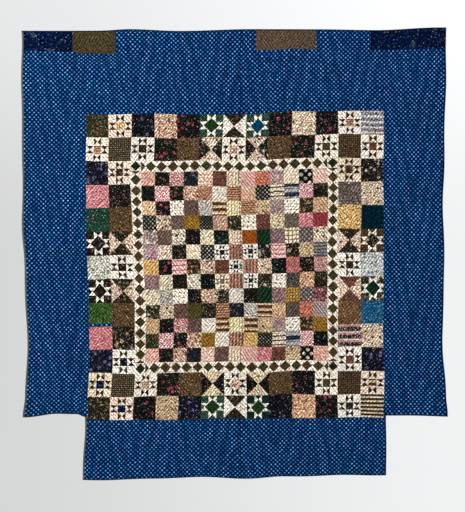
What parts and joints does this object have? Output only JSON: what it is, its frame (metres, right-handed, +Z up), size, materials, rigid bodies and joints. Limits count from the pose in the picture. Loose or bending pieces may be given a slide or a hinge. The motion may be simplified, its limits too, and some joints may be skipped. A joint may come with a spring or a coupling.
{
  "type": "pieced quilt on a wall-mounted hanging rack",
  "caption": "Pieced patchwork quilt with cut-out lower corners, hung flat by a fabric sleeve from a wooden pole that rests in cup brackets screwed to a wall.",
  "frame": {"origin": "centre of the centre bracket's back face, on the wall plane, straight behind the middle of the quilt", "axes": "+Z up along the quilt's length; +Y out of the back, into the wall, so the quilt's printed face looks along -Y; +X to the right as seen from the front"},
  "size_m": [2.073, 0.0623, 2.19],
  "materials": {
    "border_blue": "dotted cotton, quilted",
    "inset_navy": "dark sprigged cotton, quilted",
    "olive_brown": "olive-brown cotton, quilted",
    "print_brown": "brown cotton print, quilted",
    "patchwork_cream": "mixed cotton prints, pieced and quilted",
    "wadding": "cotton wadding",
    "backing_cotton": "plain unbleached cotton",
    "binding_navy": "plain cotton, folded",
    "pine": "sanded and oiled",
    "black_steel": "satin black paint",
    "zinc": "zinc plated"
  },
  "bodies": {
    "rack": {"bracket_left": "black_steel", "bracket_centre": "black_steel", "bracket_right": "black_steel", "screw_left_upper": "zinc", "screw_left_lower": "zinc", "screw_centre_upper": "zinc", "screw_centre_lower": "zinc", "screw_right_upper": "zinc", "screw_right_lower": "zinc"},
    "pole_assembly": {"pole": "pine", "pole_cap_left": "pine", "pole_cap_right": "pine"},
    "quilt": {"border_top_left": "border_blue", "border_top_right": "border_blue", "top_strip_left": "border_blue", "top_strip_right": "border_blue", "border_left": "border_blue", "border_right": "border_blue", "inset_navy_left": "inset_navy", "inset_olive": "olive_brown", "inset_brown": "print_brown", "inset_navy_right": "inset_navy", "blocks_top": "patchwork_cream", "blocks_bottom": "patchwork_cream", "blocks_left": "patchwork_cream", "blocks_right": "patchwork_cream", "diamond_strip_top": "olive_brown", "diamond_strip_bottom": "olive_brown", "diamond_strip_left": "olive_brown", "diamond_strip_right": "olive_brown", "medallion_row_01": "patchwork_cream", "medallion_row_02": "patchwork_cream", "medallion_row_03": "patchwork_cream", "medallion_row_04": "patchwork_cream", "medallion_row_05": "patchwork_cream", "medallion_row_06": "patchwork_cream", "medallion_row_07": "patchwork_cream", "medallion_row_08": "patchwork_cream", "medallion_row_09": "patchwork_cream", "medallion_row_10": "patchwork_cream", "medallion_row_11": "patchwork_cream", "medallion_row_12": "patchwork_cream", "medallion_row_13": "patchwork_cream", "batting_main": "wadding", "backing_left": "backing_cotton", "backing_centre": "backing_cotton", "backing_right": "backing_cotton", "binding_top": "binding_navy", "binding_left": "binding_navy", "binding_right": "binding_navy", "binding_drop_left": "binding_navy", "binding_drop_right": "binding_navy", "sleeve_left": "backing_cotton", "sleeve_right": "backing_cotton"},
    "foot_drop": {"foot_drop_top": "border_blue", "batting_foot": "wadding", "backing_foot": "backing_cotton", "binding_foot_left": "binding_navy", "binding_foot_right": "binding_navy", "binding_foot_bottom": "binding_navy"}
  },
  "joints": [
    {"name": "pole_lift", "type": "slide", "parent": "rack", "child": "pole_assembly", "axis": [0, 0, 1], "range_m": [0, 0.05]},
    {"name": "quilt_swing", "type": "hinge", "parent": "pole_assembly", "child": "quilt", "pos_m": [0, -0.038, 0.02], "axis": [-1, 0, 0], "range_deg": [0, 25]},
    {"name": "foot_fold", "type": "hinge", "parent": "quilt", "child": "foot_drop", "pos_m": [0, -0.0596, -1.828], "axis": [-1, 0, 0], "range_deg": [0, 90]}
  ]
}
